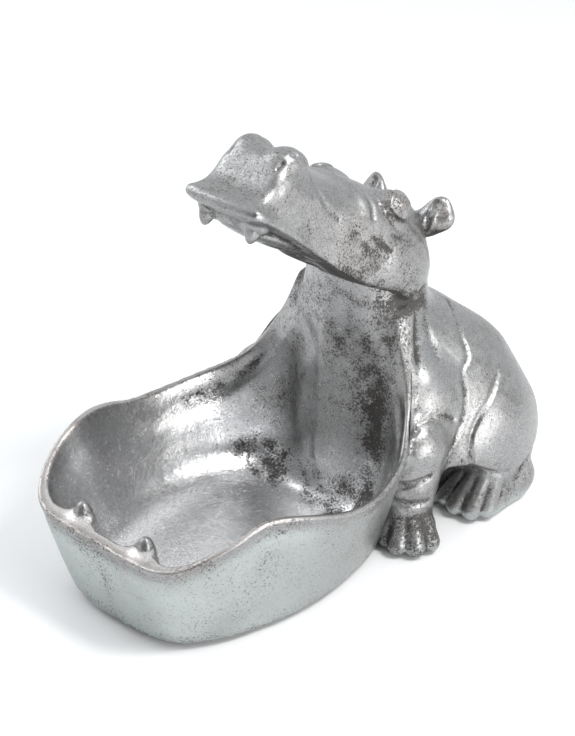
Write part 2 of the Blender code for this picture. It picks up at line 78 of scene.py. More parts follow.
# The outline on the table, from the chin to the throat
FOOTPRINT = [(0, -163), (28, -162), (50, -153), (65, -133), (77, -100), (82, -62), (79, -24),
             (70, 14), (52, 44), (28, 66), (0, 74)]
THROAT_Y = 79.0
THROAT_RADIUS_LOW, THROAT_RADIUS_HIGH = 47.0, 37.0
THROAT_LOW, THROAT_HIGH = 25.0, 190.0
THROAT_BLEND = 22.0
THROAT_SQUASH_LOW, THROAT_SQUASH_HIGH = 0.66, 0.92      # the throat is wider than it is deep
LOWER_TUSK = (30, -161.5, 74)
LIP_PAD = 9.0                   # the lip is thicker about each lower tusk
# The deep shadow line below the cheek, where the upper jaw overhangs the throat
UNDER_JAW = [(24, -4, 214), (34, 12, 201), (40, 32, 186), (43, 52, 175), (44.5, 70, 168), (44, 86, 163),
             (42, 100, 160)]
# The shallow pocket beside the throat's keel, where shade is painted into the leaf
POCKET = [(16, 44, 140), (34, 50, 112), (40, 52, 84), (36, 46, 52)]

# Upper jaw, in its own frame: X across, forward along the jaw, up square to it.
HEAD_ORIGIN = np.array([0, 84, 205.0])
HEAD_TILT = math.radians(32)
FORWARD = np.array([0, -math.cos(HEAD_TILT), math.sin(HEAD_TILT)])
UPWARD = np.array([0, math.sin(HEAD_TILT), math.cos(HEAD_TILT)])
SQUARENESS = 2.6                # 2 is an oval section, and more is boxier
LIP_SQUARENESS = 6.5            # added down by the lips, where the sections are boxier
LIP_FLARE = 0.08
MUZZLE_SLANT = (0.902, 0.432)   # forward and up parts of the muzzle plane's normal
MUZZLE_REACH = 136.5
# forward, half width, top, bottom
HEAD_SECTIONS = [(-50, 26, -5, -14), (-34, 34, 5, -26), (-12, 42, 15.5, -33), (12, 43, 20.5, -35),
                 (38, 40.5, 26, -38.5), (62, 36.5, 23.5, -35), (85, 33, 21.5, -30.5), (108, 32, 22.5, -27),
                 (128, 32, 24.5, -24.5), (146, 31.5, 24, -23), (165, 31, 22, -22)]
CHEEK_LINES = [[(38, 44, 224), (41, 50, 217), (42, 57, 211)],
               [(40, 60, 221), (43, 72, 214), (45, 83, 211), (45, 92, 211)]]

# Neck: a tapered rod, and the plane where the head's casting stands on the others
NECK = ((0, 86, 120), (0, 85, 192), 44, 39)
NECK_JOINT = np.array([0, 84, 172.0])
NECK_JOINT_TILT = math.radians(-17)
JAW_FILLET, HEAD_FILLET = 4, 5  # where the jaw meets the body, and the head meets both

# Where a leg's casting meets the body's: a tapered rod, and an ellipsoid
FORELEG_SHELL = ((72, 46, -40), (70, 58, 66), 52, 31)
THIGH_SHELL = ((92, 132, 36), (46, 54, 64))


# ---- curves and distances ------------

def smooth_curve(points):
    """A smooth function of an array through (position, value) points."""
    xs = np.array([p[0] for p in points], float)
    ys = np.array([p[1] for p in points], float)
    slopes = np.gradient(ys, xs)
    slopes[1:-1] = (ys[2:] - ys[:-2]) / (xs[2:] - xs[:-2])

    def value(x):
        x = np.clip(x, xs[0], xs[-1])
        i = np.clip(np.searchsorted(xs, x) - 1, 0, len(xs) - 2)
        span = xs[i + 1] - xs[i]
        t = (x - xs[i]) / span
        return ((2 * t**3 - 3 * t**2 + 1) * ys[i] + (t**3 - 2 * t**2 + t) * span * slopes[i]
                + (3 * t**2 - 2 * t**3) * ys[i + 1] + (t**3 - t**2) * span * slopes[i + 1])
    return value


def joined(a, b, blend):
    """The union of two distances, with a fillet."""
    mix = np.clip(0.5 + 0.5 * (b - a) / blend, 0, 1)
    return b + (a - b) * mix - blend * mix * (1 - mix)


def common(a, b, blend):
    """What two distances have in common, with a rounded edge."""
    return -joined(-a, -b, blend)


def step_up(value, low, high):
    """0 below low and 1 above high, with a smooth rise between."""
    level = np.clip((value - low) / (high - low), 0, 1)
    return level * level * (3 - 2 * level)


def step_down(value, low, high):
    return 1 - step_up(value, low, high)


def hill(value, width):
    """1 where the value is 0, and fading to 0 over about twice the width on either side."""
    return np.exp(-(value / width) ** 2)


def in_head(across, forward, up):
    """World coordinates of a point given in the head's frame."""
    return HEAD_ORIGIN + np.array([across, 0, 0]) + forward * FORWARD + up * UPWARD


def unit(vectors):
    return vectors / np.maximum(np.linalg.norm(vectors, axis=-1, keepdims=True), 1e-9)


def along_head(y, z):
    """How far forward and how far up a place is in the head's frame."""
    forward = (y - HEAD_ORIGIN[1]) * FORWARD[1] + (z - HEAD_ORIGIN[2]) * FORWARD[2]
    up = (y - HEAD_ORIGIN[1]) * UPWARD[1] + (z - HEAD_ORIGIN[2]) * UPWARD[2]
    return forward, up


def projected(place, origin, axis):
    """How far a place lies from the origin along an axis."""
    return sum((p - o) * a for p, o, a in zip(place, origin, axis))


def to_ellipsoid(local, radii):
    """Distance to an ellipsoid from a place given along its own axes."""
    near = np.sqrt(sum((p / r) ** 2 for p, r in zip(local, radii)))
    slope = np.sqrt(sum((p / r**2) ** 2 for p, r in zip(local, radii))) + 1e-6
    return near * (near - 1) / slope


def leftward(points):
    """What to multiply each point by, to bring it to the modelled side."""
    return np.where(points[:, :1] < 0, (-1, 1, 1), (1, 1, 1))


def corners(part):
    """The eight corners of a grid's cell, and how much each weighs at places part of the way across."""
    for corner in range(8):
        offset = np.array([corner & 1, corner >> 1 & 1, corner >> 2 & 1])
        yield offset, np.prod(np.where(offset, part, 1 - part), axis=1)


class Clay:
    """A solid as signed distances to its surface on a grid of points. Negative is inside."""

    FAR = 60.0
    MIRROR_ROUNDING = 4.0       # keeps the two halves from meeting in an edge

    def __init__(self, low, high, step, guide=None, halved=True):
        # Every grid shares one lattice, so that neighbouring castings meet exactly.
        self.step, self.guide = step, guide
        self.low = np.floor(np.array(low, float) / step) * step
        counts = [int(math.ceil((h - l) / step)) + 1 for l, h in zip(self.low, high)]
        self.axes = [(l + step * np.arange(n)).astype(np.float32) for l, n in zip(self.low, counts)]
        if halved:
            self.axes[0] = np.sqrt(self.axes[0] ** 2 + self.MIRROR_ROUNDING**2)
        self.field = np.full(counts, self.FAR, np.float32)

    def window(self, points, margin):
        """The part of the grid around some points: its slices and its coordinates."""
        points = np.array(points, float)
        counts = self.field.shape
        first = np.floor((points.min(axis=0) - margin - self.low) / self.step)
        first = np.clip(first, 0, counts).astype(int)
        last = np.ceil((points.max(axis=0) + margin - self.low) / self.step) + 1
        last = np.clip(last, first, counts).astype(int)
        slices = tuple(slice(a, b) for a, b in zip(first, last))
        return slices, *np.ix_(*(axis[part] for axis, part in zip(self.axes, slices)))

    def whole(self):
        """The coordinates of the whole grid."""
        return np.ix_(*self.axes)

    def egg(self, centre, radii, turn=(0, 0, 0), blend=8.0, carve=False):
        """Add or carve an ellipsoid. Turn is in degrees about X, Y and Z."""
        centre = np.array(centre, float)
        reach = max(radii)
        slices, x, y, z = self.window([centre - reach, centre + reach], blend + 2 * self.step)
        rotation = np.array(Euler([math.radians(a) for a in turn]).to_matrix())
        local = [projected((x, y, z), centre, rotation[:, i]) for i in range(3)]
        self.merge(slices, to_ellipsoid(local, radii), blend, carve)

    def head_egg(self, place, radii, blend=8.0, carve=False):
        """An ellipsoid in the head's frame: radii across, forward and up."""
        self.egg(in_head(*place), radii, (-math.degrees(HEAD_TILT), 0, 0), blend, carve)

    def limb(self, start, end, start_radius, end_radius, blend=8.0, carve=False):
        """Add or carve a round-ended, tapered rod."""
        reach = max(start_radius, end_radius)
        slices, x, y, z = self.window([start, end], reach + blend + 2 * self.step)
        distance, level = to_line(x, y, z, start, end)
        radius = start_radius + (end_radius - start_radius) * level
        self.merge(slices, distance - radius, blend, carve)

    def merge(self, slices, distance, blend, carve=False):
        if carve:
            self.field[slices] = common(self.field[slices], -distance, blend)
        else:
            self.field[slices] = joined(self.field[slices], distance, blend)

    def crease(self, points, depth, width, settle=True):
        """Press a soft line into the surface, or raise one where depth is negative."""
        if settle:
            points = (self.guide or self).settled(points)
        slices, x, y, z = self.window(points, 3 * width)
        self.field[slices] += depth * hill(to_path(x, y, z, points), width)

    def sample(self, points):
        """Distances at some points, read between the grid's points."""
        place = (np.array(points, float) - self.low) / self.step
        place = np.clip(place, 0, np.array(self.field.shape) - 1.001)
        base = place.astype(int)
        part = place - base
        value = np.zeros(len(place))
        for offset, weight in corners(part):
            index = base + offset
            value += weight * self.field[index[:, 0], index[:, 1], index[:, 2]]
        return value

    def slope(self, points):
        """The direction out of the surface at some points."""
        points = np.array(points, float)
        step = np.eye(3) * self.step
        return unit(np.stack([self.sample(points + s) - self.sample(points - s) for s in step], axis=1))

    def settled(self, points):
        """The same points moved onto the surface, with more between them."""
        points = np.array(points, float)
        spots = np.linspace(0, len(points) - 1, 6 * (len(points) - 1) + 1)
        curve = [smooth_curve(list(enumerate(points[:, axis])))(spots) for axis in range(3)]
        points = np.stack(curve, axis=1)
        for _ in range(4):
            points = points - self.sample(points)[:, None] * self.slope(points)
        return points

    def even(self):
        """Make the field change by one millimetre for each millimetre, near the surface."""
        gradient = np.gradient(self.field, self.step)
        length = np.sqrt(sum(g * g for g in gradient))
        self.field = (self.field / np.maximum(length, 0.35)).astype(np.float32)

    def skin(self, limit=None, mirrored=True):
        """Points and quads of the surface, cut off sharply where limit is above 0.

        A mirrored piece has its grid's first plane at x = 0.
        """
        field = self.field if limit is None else np.maximum(self.field, limit.field)
        field = np.clip(field, -4 * self.step, 4 * self.step)
        low = self.low.copy()
        if mirrored:
            field = np.concatenate([field[:0:-1], field], axis=0)
            low[0] = -(self.field.shape[0] - 1) * self.step
        field = np.pad(field, 1, constant_values=4 * self.step)
        volume = openvdb.FloatGrid(4 * self.step)
        volume.copyFromArray(np.ascontiguousarray(field.astype(np.float32)))
        points, quads = volume.convertToQuads(isovalue=0.0)
        points = (np.array(points, float) - 1) * self.step + low
        quads = np.array(quads)
        if limit is not None:
            points = self.sharpened(points, limit)
            points[:, 2] = np.maximum(points[:, 2], REST_HEIGHT)
        return points, outward(points, quads)

    def sharpened(self, points, limit):
        """Draw points beside the cut onto its edge, where the surface and the cut meet."""
        half = points * leftward(points)
        near = (np.abs(self.sample(half)) < self.step) & (np.abs(limit.sample(half)) < self.step)
        spot = half[near]
        for _ in range(3):
            here, there = self.sample(spot), limit.sample(spot)
            n, m = self.slope(spot), limit.slope(spot)
            dot = (n * m).sum(1)
            room = np.maximum(1 - dot**2, 0.15)
            shift = n * ((dot * there - here) / room)[:, None]
            shift = shift + m * ((dot * here - there) / room)[:, None]
            spot = spot + np.clip(shift, -0.7 * self.step, 0.7 * self.step)
        half[near] = spot
        return half * leftward(points)


def face_normals(points, quads):
    """A normal for each quad, twice as long as its area."""
    a, b, c, d = (points[quads[:, k]] for k in range(4))
    return np.cross(c - a, d - b)


def outward(points, quads):
    """The same quads, turned so that their normals point out."""
    volume = (face_normals(points, quads) * points[quads].sum(axis=1)).sum()
    return quads if volume > 0 else quads[:, ::-1]


def to_line(x, y, z, start, end):
    """Distance to the stretch from start to end, and how far along it the nearest point is."""
    start, end = np.array(start, float), np.array(end, float)
    along = end - start
    length = max(float(along @ along), 1e-9)
    level = np.clip(projected((x, y, z), start, along) / length, 0, 1)
    distance = np.sqrt(sum((p - s - level * a) ** 2 for p, s, a in zip((x, y, z), start, along)))
    return distance.astype(np.float32), level


def to_path(x, y, z, points):
    """Distance to the nearest part of a line through some points."""
    return np.min([to_line(x, y, z, start, end)[0] for start, end in zip(points[:-1], points[1:])], axis=0)


# ---- lower jaw -----------------------

def bearing(x, y):
    """Angle about the bowl's axis, 0 at the chin and pi at the throat."""
    return np.arctan2(x, BOWL_AXIS_Y - y)


def by_bearing(points, value):
    """A smooth function of the bearing through some points."""
    return smooth_curve(sorted((float(bearing(p[0], p[1])), value(p)) for p in points))


def reach_of(point):
    return math.hypot(point[0], point[1] - BOWL_AXIS_Y)


lip_reach = by_bearing(LIP, reach_of)
lip_height = by_bearing(LIP, lambda p: p[2])
foot_reach = by_bearing(FOOTPRINT, reach_of)
TUSK_BEARING = float(bearing(LOWER_TUSK[0], LOWER_TUSK[1]))


def outer_reach(angle, height):
    level = np.clip(height / lip_height(angle), 0, 1)
    foot = foot_reach(angle)
    return foot + (lip_reach(angle) - foot) * level**WALL_FLARE


def inner_reach(angle, height, nearness):
    """Nearness is 1 by the throat, where the wall and its lip get thin."""
    level = height / lip_height(angle)
    depth = lip_height(angle) - height
    pad = LIP_PAD * hill(angle - TUSK_BEARING, 0.11) * np.clip((level - 0.6) / 0.3, 0, 1)
    front = np.exp(-(angle / 0.62) ** 4)
    flat_top = 2.4 * front * hill(depth, 7)
    side = (1 - front) * (0.30 + 0.12 * nearness) * hill(depth, 22)
    return outer_reach(angle, height) - WALL * (1 - side - 0.15 * nearness) - pad - flat_top


def model_bowl(clay):
    """The lower jaw with its flat-topped lip, and the throat that rises behind it."""
    x, y, z = clay.whole()
    angle = bearing(x, y)
    reach = np.sqrt(x**2 + (y - BOWL_AXIS_Y) ** 2)
    depth = lip_height(angle) - z
    outer = reach - outer_reach(angle, z)
    groove = 0.5 * step_down(y, 0, 25) * hill(depth - 9, 4)
    undercut = (0.4 + 1.2 * step_up(y, -50, -5) * step_down(y, 35, 60)) * hill(depth - 16, 6)
    inner = reach - inner_reach(angle, z, step_up(y, 22, 50)) - undercut
    shape = common(common(outer + groove, REST_HEIGHT - z, FOOT_FILLET), -depth * 0.85, 3)
    hollow = common(inner, FLOOR_HEIGHT - z, FLOOR_FILLET)
    shell = common(shape, -hollow, 2.2)
    rise = np.clip((z - 110) / 80, 0, 1)
    squash = THROAT_SQUASH_LOW + (THROAT_SQUASH_HIGH - THROAT_SQUASH_LOW) * rise
    distance, level = to_line(x * squash, y, z, (0, THROAT_Y, THROAT_LOW), (0, THROAT_Y, THROAT_HIGH))
    throat = distance - THROAT_RADIUS_LOW - (THROAT_RADIUS_HIGH - THROAT_RADIUS_LOW) * level
    throat = common(common(throat, outer + 5, 8), REST_HEIGHT - z, FOOT_FILLET)
    clay.field = joined(shell, throat, THROAT_BLEND).astype(np.float32)
    # A keel down the middle of the throat, with a shallow pocket on either side of it
    clay.crease([(0, 42, 152), (0, 36, 110), (0, 34, 72), (0, 29, 44)], -4.5, 6, settle=False)
    clay.crease([(24, 42, 130), (42, 46, 100), (44, 42, 70), (36, 32, 42)], 5.0, 13, settle=False)
    tusk_x, tusk_y, _ = LOWER_TUSK
    clay.limb((tusk_x, tusk_y + 1, 56), (tusk_x, tusk_y + 0.5, 69.5), 9.5, 6.8, blend=10)
    press_under_jaw(clay)


def press_under_jaw(clay):
    clay.crease(UNDER_JAW, 5.0, 5.5, settle=False)


def outside_bowl(clay):
    """Distance to the bowl's outer wall, carried straight up past its lip. Positive is outside."""
    x, y, z = clay.whole()
    angle = bearing(x, y)
    reach = np.sqrt(x**2 + (y - BOWL_AXIS_Y) ** 2)
    return (reach - outer_reach(angle, z)).astype(np.float32)


# ---- upper jaw -----------------------

def above_neck_joint(clay):
    """Height above the plane that the head's casting stands on."""
    x, y, z = clay.whole()
    back, up = -math.sin(NECK_JOINT_TILT), math.cos(NECK_JOINT_TILT)
    return ((y - NECK_JOINT[1]) * back + (z - NECK_JOINT[2]) * up + 0 * x).astype(np.float32)


def model_skull(clay):
    """The jaw's boxy sections along its length, closed by a slanting muzzle in front."""
    x, y, z = clay.whole()
    forward, up = along_head(y, z)
    half_width, top, bottom = (smooth_curve([(row[0], row[k]) for row in HEAD_SECTIONS])(forward)
                               for k in (1, 2, 3))
    middle, half_height = (top + bottom) / 2, (top - bottom) / 2
    lowness = np.clip((middle - up) / half_height, 0, 1)
    half_width = half_width * (1 + LIP_FLARE * lowness**2)
    power = SQUARENESS + LIP_SQUARENESS * lowness
    share = np.abs(x / half_width) ** power + np.abs((up - middle) / half_height) ** power
    share = (share + 1e-9) ** (1 / power)
    clay.field = ((share - 1) * np.minimum(half_width, half_height)).astype(np.float32)
    clay.even()
    hollow = 3.6 * hill(up + 1, 13)
    muzzle = MUZZLE_SLANT[0] * forward + MUZZLE_SLANT[1] * up - MUZZLE_REACH + hollow
    clay.field = common(clay.field, muzzle, 11).astype(np.float32)
    clay.field = common(clay.field, -(forward + 46), 36).astype(np.float32)


def lip_line(across=0.0, up=0.0):
    """The upper jaw's lower edge, from the front corner of the lip back to the corner of the mouth."""
    line = [(31, 156, -19), (33, 132, -22), (35, 111, -26), (37, 91, -30), (40, 60, -36), (43, 28, -38),
            (45, 0, -34), (45, -16, -29)]
    return [in_head(x + across, forward, height + up) for x, forward, height in line]


def model_head(clay):
    model_skull(clay)
    clay.head_egg((0, 149.5, -18.5), (31.5, 13, 5.2), blend=9)  # front lip, flared
    clay.head_egg((16.5, 127, 20.5), (10.5, 13, 9.5), blend=9)  # nostril mound
    clay.crease([in_head(38, 132, 12), in_head(38, 138, 0), in_head(37, 143, -9)], 2.4, 13, settle=False)
    clay.head_egg((29, -2, -18), (18, 32, 18), blend=14)        # cheek
    clay.head_egg((25.5, 23, 16.5), (12.5, 17, 12.5), blend=8)  # brow
    # Lip edge, and the mouth's roof inside it with a gum plate that the tusks stand on
    clay.crease(lip_line(-1, 1), -1.2, 3.0)
    clay.head_egg((0, 92, -47), (29, 66, 17), blend=2, carve=True)
    clay.head_egg((0, 100, -29), (21, 48, 6.5), blend=3)
    clay.head_egg((0, 139, -24.5), (25, 11, 5.5), blend=5)
    clay.head_egg((20.4, 140.5, -25), (8.5, 8, 6.5), blend=4)   # gum about the tusk
    clay.crease([in_head(12, 112, -35), in_head(16, 84, -35), in_head(16, 60, -36)], 2.0, 2.4, settle=False)
    clay.crease(lip_line(-8, -4)[2:], 2.4, 3.0, settle=False)
    press_under_jaw(clay)
    # Nostrils: a short slit in front of the mound, a pit behind it, and folds below
    top, low = clay.settled([(23.0, -26.5, 296.5), (21.4, -30.5, 291.5)])[[0, -1]]
    clay.limb(top, low, 1.7, 1.0, blend=0.8, carve=True)
    pit = [(23.5, -18.5, 299), (25.5, -16.5, 298), (25, -14.5, 298.5), (23, -16, 299.6)]
    clay.crease(pit + pit[:1], 0.8, 0.8)
    clay.crease([(8, -8, 296), (18, -8, 294), (27, -4, 285), (32, 0, 270), (35, 6, 256), (36, 14, 246)],
                0.8, 2.0)
    # Fold in front of the eye, and the cheek's folds
    clay.crease([(0, 42, 266), (8, 43, 265), (20, 43, 257), (30, 42, 249), (33, 41, 245)], -2.6, 5.0)
    clay.crease([(2, 52, 264), (14, 52, 261), (25, 51, 254), (33, 49, 247), (37, 46, 238)], 2.2, 2.4)
    for line in CHEEK_LINES:
        clay.crease(line, 0.7, 2.0)
    clay.crease([(36, 28, 231), (39, 38, 219), (43, 52, 207)], 0.8, 4.5)
    clay.crease([(38, 93, 232), (42, 97, 220), (44, 98, 206), (43, 98, 190)], 1.2, 3.6)
    model_eye(clay)


EYE = np.array([35.0, 71.0, 238.0])
EYE_ALONG = np.array([0.15, -0.82, 0.55])
EYE_UP = np.array([-0.52, 0.30, 0.80])
# Lids and wrinkles about the eye: forward along it, up across it
UPPER_LID = [(-10, -3), (-6, 2.5), (-1, 5), (4, 4.5), (8, 1.5), (11, -2.5)]
LOWER_LID = [(-10, -3), (-5, -5), (1, -5.6), (6, -4.8), (11, -2.5)]
LID_CREASE = [(-11, 1), (-6, 6.5), (0, 9), (6, 8), (11, 3)]
BAG_CREASE = [(-11, -8), (-4, -10.5), (4, -10.5), (10, -7)]
LOW_CREASE = [(-16, -17), (-6, -18.5), (4, -17), (12, -12)]


def around_eye(line):
    """Places beside the eye, from how far along it and how far up across it they are."""
    return [EYE + EYE_ALONG * along + EYE_UP * up for along, up in line]


def model_eye(clay):
    clay.egg(EYE - np.array([1.5, 0, 0.5]), (10, 13, 9), (-30, 0, 0), blend=5)
    clay.crease(around_eye(LID_CREASE), 0.9, 1.5)
    clay.crease(around_eye(BAG_CREASE), 0.9, 1.5)
    clay.crease(around_eye(LOW_CREASE), 0.7, 1.6)
    clay.egg(EYE + np.array([2.6, 1.5, 1.5]), (5.2, 6.8, 5.2), (-30, 0, 0), blend=1.0)
    clay.crease(around_eye(UPPER_LID), -2.0, 1.5)
    clay.crease(around_eye(LOWER_LID), -1.5, 1.4)


# ---- body and legs -------------------

FORE_TOES = (-30, 12, 54, 96)   # degrees from straight ahead, outwards
# Each hind toe as its root and tip
HIND_TOES = [((80, 106), (69, 96)), ((89, 104), (81, 92)), ((96, 105), (93, 94)), ((101, 112), (99, 104))]


def body_forms(clay):
    clay.egg((0, 96, 71), (86, 88, 80), (8, 0, 0))              # barrel
    clay.egg((60, 124, 48), (47, 63, 60), blend=8)              # haunch
    clay.egg((40, 122, 84), (48, 57, 50), blend=12)             # flank
    clay.egg((51, 72, 82), (34, 33, 47), blend=11)              # shoulder
    clay.egg((72, 124, 58), (33, 38, 44), blend=8)              # thigh
    clay.limb(*NECK, blend=14)
    clay.egg((94, 79, 12), (38, 33, 38), blend=6, carve=True)   # room for the hind foot
    clay.limb((70, 52, 72), (74, 45, 30), 26, 18.5, blend=9)    # forearm
    clay.egg((79, 42, 14), (19.5, 18.5, 17), blend=4)           # forepaw
    for degrees in FORE_TOES:
        x, y = math.sin(math.radians(degrees)), -math.cos(math.radians(degrees))
        clay.limb((79 + 12 * x, 43 + 12 * y, 23), (80 + 16.5 * x, 42 + 17 * y, 8.6), 6.4, 7.6, blend=1.0)
    clay.egg((86, 118, 16), (18, 27, 21), (0, 0, 12), blend=5)  # hind foot
    clay.egg((86, 141, 14), (20.5, 24.5, 18), blend=5)          # heel
    clay.limb((97, 110, 9), (95, 138, 9), 9, 9, blend=4)        # the foot's outer edge
    clay.egg((89, 111, 33), (15, 12.5, 14), blend=5)            # instep
    for root, tip in HIND_TOES:
        clay.limb((*root, 35), (*tip, 8.8), 5.4, 7.4, blend=0.8)


def body_folds(clay):
    # Neck to belly behind the shoulder
    clay.crease([(26, 140, 137), (56, 117, 132), (72, 108, 120), (76, 98, 114), (86, 90, 92), (88, 74, 69),
                 (92, 59, 59)], 1.5, 1.5)
    clay.crease([(81, 40, 90), (80, 50, 94), (82, 61, 96), (84, 70, 94), (86, 78, 89)], 2.4, 1.8)  # elbow
    # Front of the thigh, and round its foot
    clay.crease([(84, 127, 104), (90, 111, 93), (93, 96, 83), (95, 87, 71), (98, 86, 55), (98, 86, 44)],
                2.0, 1.7)
    clay.crease([(84, 74, 32), (92, 82, 40), (99, 92, 43), (105, 104, 40), (106, 118, 37)], 1.6, 2.0)
    clay.crease([(104, 137, 30), (102, 150, 34), (94, 164, 36)], 2.2, 3.0)
    clay.crease([(48, 104, 160), (58, 92, 146), (68, 84, 130)], 0.7, 3.0)  # side of the neck
    # Wrist, with a cuff of skin between two lines
    clay.crease([(60, 28, 57), (76, 25, 55), (88, 32, 57), (95, 45, 60)], 3.0, 1.8)
    clay.crease([(60, 28, 41), (78, 24, 41), (88, 33, 40), (94, 45, 40)], 2.2, 2.4)
    clay.crease([(62, 27, 49), (78, 23, 49), (90, 33, 49), (96, 46, 50)], -1.0, 4.0)
    press_under_jaw(clay)


def leg_shell(clay, kind):
    """Distance to the surface where a leg joins the body. Negative is the leg's side."""
    x, y, z = clay.whole()
    if kind == "fore":
        start, end, low_radius, high_radius = FORELEG_SHELL
        distance, level = to_line(x, y, z, start, end)
        return distance - low_radius - (high_radius - low_radius) * level
    centre, radii = THIGH_SHELL
    return to_ellipsoid([p - c for p, c in zip((x, y, z), centre)], radii)


# ---- skins ---------------------------

CUT_FACE_COSINE = 0.35          # a face that leans further from the clay's own normals is a cut
SHARP_ANGLE = math.radians(52)


def lattice_noise(points, scale, seed):
    """Smooth random values between -1 and 1, the same on every run. Scale is the size of a lump."""
    table = np.random.default_rng(seed).uniform(-1, 1, 4096)
    place = points / scale
    base = np.floor(place).astype(np.int64)
    part = place - base
    part = part * part * (3 - 2 * part)
    value = np.zeros(len(points))
    for offset, weight in corners(part):
        spot = base + offset
        index = (spot[:, 0] * 73856093 ^ spot[:, 1] * 19349663 ^ spot[:, 2] * 83492791) % len(table)
        value += weight * table[index]
    return value


def gathered(quads, values, count):
    """For each point, the sum of a value over the quads' corners that use it."""
    return np.bincount(quads.ravel(), np.repeat(values, 4), count)


def vertex_normals(points, quads):
    faces = face_normals(points, quads)
    return unit(np.stack([gathered(quads, faces[:, axis], len(points)) for axis in range(3)], axis=1))


def hollowness(points, quads, rounds):
    """How far each point lies below its surroundings, in millimetres: above 0 in a crease."""
    normals = vertex_normals(points, quads)
    counts = np.maximum(np.bincount(quads.ravel(), minlength=len(points)), 1)
    smooth = points.copy()
    for _ in range(rounds):
        for axis in range(3):
            middle = smooth[quads, axis].mean(axis=1)
            smooth[:, axis] = gathered(quads, middle, len(points)) / counts
    return ((smooth - points) * normals).sum(1)


def shade_by(mesh, quads, points, normals):
    """Shade with given normals, so that castings that meet look like one surface. Cut faces stay flat."""
    faces = unit(face_normals(points, quads))
    shading = normals[quads]
    agree = (shading * faces[:, None]).sum(2, keepdims=True) > CUT_FACE_COSINE
    shading = np.where(agree, shading, faces[:, None])
    mesh.normals_split_custom_set(shading.reshape(-1, 3).tolist())


def add_object(name, data):
    thing = bpy.data.objects.new(name, data)
    bpy.context.scene.collection.objects.link(thing)
    return thing


def make_piece(name, points, quads, material, node, marks, normals=None):
    """A mesh object that stands for a CAD node. Marks are values for each point that the material reads."""
    mesh = bpy.data.meshes.new(name)
    mesh.from_pydata((points * MM).tolist(), [], quads.tolist())
    broken = mesh.validate()
    mesh.update()
    mesh.shade_smooth()
    if normals is None or broken:
        mesh.set_sharp_from_angle(angle=SHARP_ANGLE)
    else:
        shade_by(mesh, quads, points, normals)
    for mark, values in marks.items():
        layer = mesh.attributes.new(mark, "FLOAT", "POINT")
        layer.data.foreach_set("value", values.astype(np.float32))
    mesh.materials.append(material)
    piece = add_object(name, mesh)
    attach(piece, "root")
    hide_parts(node)


# ---- small castings ------------------

def lathe(spine, radii, flutes, sides=32):
    """Quads around a bent spine, closed at both ends. Flutes are shallow ridges along it."""
    along = unit(np.gradient(spine, axis=0))
    across = unit(np.cross(along, (0, 1, 0.2)))
    over = np.cross(along, across)
    turns = 2 * math.pi * np.arange(sides) / sides
    ripple = 1 + flutes * np.cos(7 * turns)[None, :, None]
    rings = spine[:, None] + (radii[:, None, None] * ripple
                              * (across[:, None] * np.cos(turns)[None, :, None]
                                 + over[:, None] * np.sin(turns)[None, :, None]))
    points = np.concatenate([rings.reshape(-1, 3), spine[:1], spine[-1:]])
    quads = []
    for row in range(len(spine) - 1):
        for k in range(sides):
            j = (k + 1) % sides
            quads.append((row * sides + k, row * sides + j, (row + 1) * sides + j, (row + 1) * sides + k))
    last = (len(spine) - 1) * sides
    for k in range(0, sides, 2):
        j, i = k + 1, (k + 2) % sides
        quads.append((len(points) - 2, i, j, k))
        quads.append((len(points) - 1, last + k, last + j, last + i))
    return points, outward(points, np.array(quads))


def tusk(root, tip, radius, peg):
    """A blunt tusk that bends a little forward. Peg is the share of it that sits in the lip."""
    root, tip = np.array(root, float), np.array(tip, float)
    level = np.linspace(0, 1, 26)
    above = np.clip((level - peg) / (1 - peg), 0, 1)
    crown = np.sqrt(np.maximum(1 - above**2.6, 0.0)) * (1 - 0.30 * above)
    radii = np.maximum(radius * np.where(level < peg, 1.0, crown), 0.15)
    bend = 0.9 * np.sin(math.pi * level)[:, None] * np.array([0, -1, 0])
    return lathe(root + (tip - root) * level[:, None] + bend, radii, flutes=0.025)


EAR_ROOT = (19, -30, 14)        # in the head's frame
EAR_AXIS = np.array([0.72, 0.38, 0.58])
EAR_FACE = np.array([0.45, -0.80, 0.38])


def model_ear(side):
    """A thick leaf folded along its length: a rim from root to tip, a slit above it and a lobe below."""
    root = in_head(*EAR_ROOT)
    axis = unit(EAR_AXIS)
    facing = unit(EAR_FACE - axis * (EAR_FACE @ axis))
    rise = np.cross(facing, axis)
    rise *= np.sign(rise[2])

    def spot(along, up, out):
        return root + along * axis + up * rise + out * facing

    clay = Clay(root - 30, root + 40, EAR_STEP, halved=False)
    x, y, z = clay.whole()

    def plate(centre, along, up, thick, tilt=0.0):
        """An ellipsoid set square to the ear, its long axis turned up by tilt."""
        long_way = axis * math.cos(tilt) + rise * math.sin(tilt)
        high_way = rise * math.cos(tilt) - axis * math.sin(tilt)
        parts = [projected((x, y, z), centre, way) for way in (long_way, high_way, facing)]
        return to_ellipsoid(parts, (along, up, thick))

    clay.limb(spot(-4, 2, -1), spot(11, 1, 0), 10.5, 8.5, blend=4)
    clay.field = joined(clay.field, plate(spot(13, 1.5, 0), 15.5, 10.2, 5.0, 0.46), 4)
    clay.field = joined(clay.field, plate(spot(17, -2.5, 0.5), 9, 8.0, 5.2), 4).astype(np.float32)
    slit = [spot(4, -3, 5), spot(9, 0.5, 5), spot(14, 4.5, 4.5), spot(19.5, 9, 3)]
    rim = [spot(3, -7, 5), spot(8, -4, 5.5), spot(14, 0.5, 5.5), spot(19, 4.5, 4.5), spot(23.5, 9, 2.5)]
    clay.crease(slit, 7.0, 1.7)
    clay.crease(rim, -2.0, 1.2)
    clay.crease([spot(3, 7, 5), spot(2, 0, 6), spot(1, -8, 5)], 1.2, 1.5)  # fold at the root
    points, quads = clay.skin(mirrored=False)
    points[:, 0] *= side
    return points, outward(points, quads)


